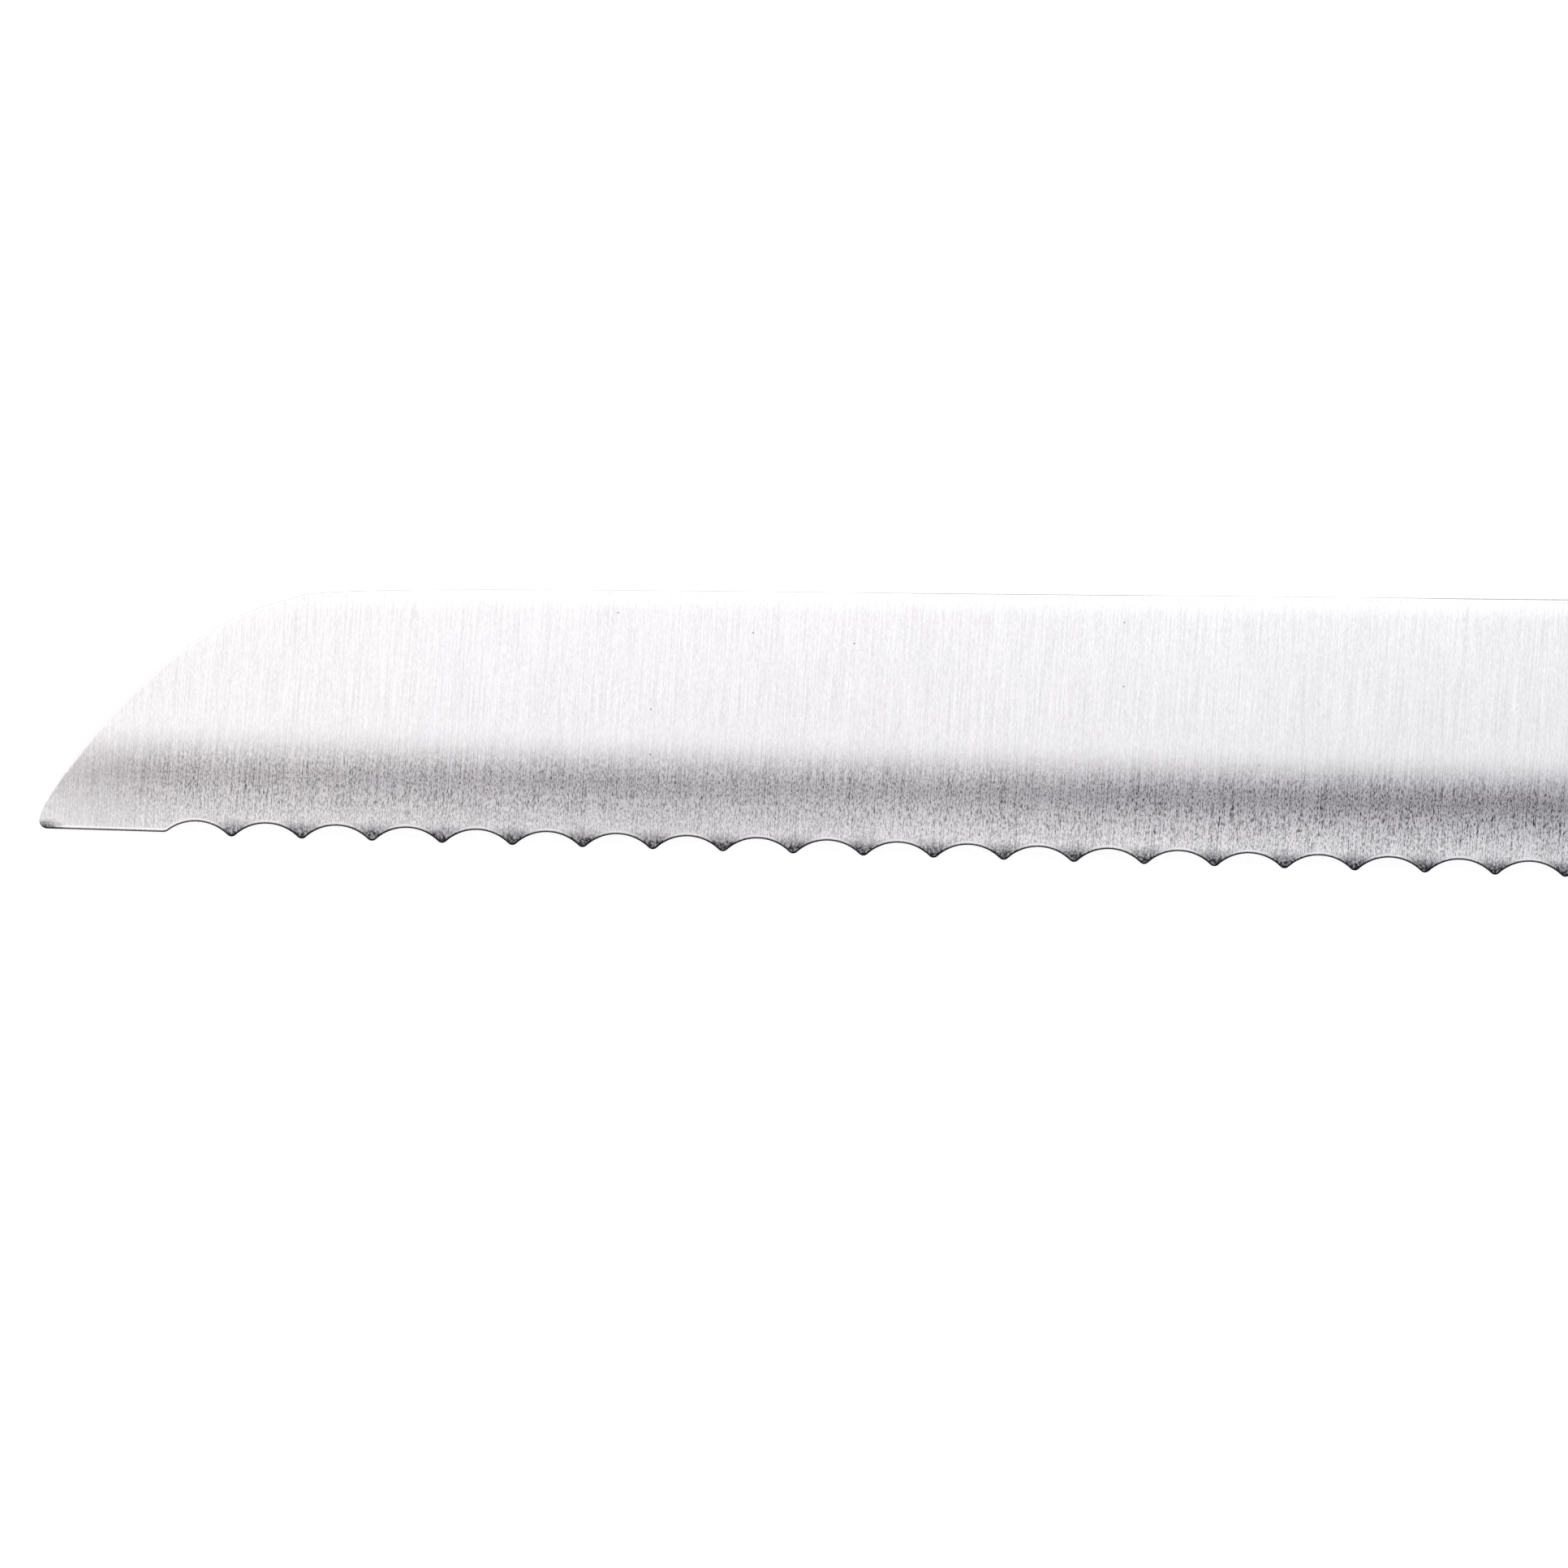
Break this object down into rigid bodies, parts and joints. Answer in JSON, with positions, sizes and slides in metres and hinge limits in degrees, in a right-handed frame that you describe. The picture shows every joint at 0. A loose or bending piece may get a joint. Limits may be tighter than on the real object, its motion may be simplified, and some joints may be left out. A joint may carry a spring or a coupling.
{
  "type": "bread knife",
  "caption": "Long bread knife with a scalloped, hollow-ground steel blade, a full tang, a steel bolster and riveted dark wood scales.",
  "frame": {"origin": "middle of the knife's footprint on the plane it lies on, at the flank of the right-hand scale", "axes": "+X from the tip towards the butt, +Y from the cutting edge towards the spine, +Z out of the blade's left face, through the thickness"},
  "size_m": [0.37, 0.033, 0.0186],
  "materials": {
    "blade_steel": "fine satin brushing across the blade, coarser in the hollow grind",
    "bolster_steel": "satin",
    "rivet_steel": "satin, ground flush with the wood",
    "handle_wood": "resin-filled laminated hardwood, smooth and slightly glossy"
  },
  "bodies": {
    "root": {"blade": "blade_steel", "bolster_left": "bolster_steel", "bolster_right": "bolster_steel", "bolster_pin_upper": "bolster_steel", "bolster_pin_lower": "bolster_steel", "scale_left": "handle_wood", "scale_right": "handle_wood", "rivet_front_tube": "rivet_steel", "rivet_front_pin": "rivet_steel", "rivet_middle_tube": "rivet_steel", "rivet_middle_pin": "rivet_steel", "rivet_rear_tube": "rivet_steel", "rivet_rear_pin": "rivet_steel"}
  },
  "joints": []
}
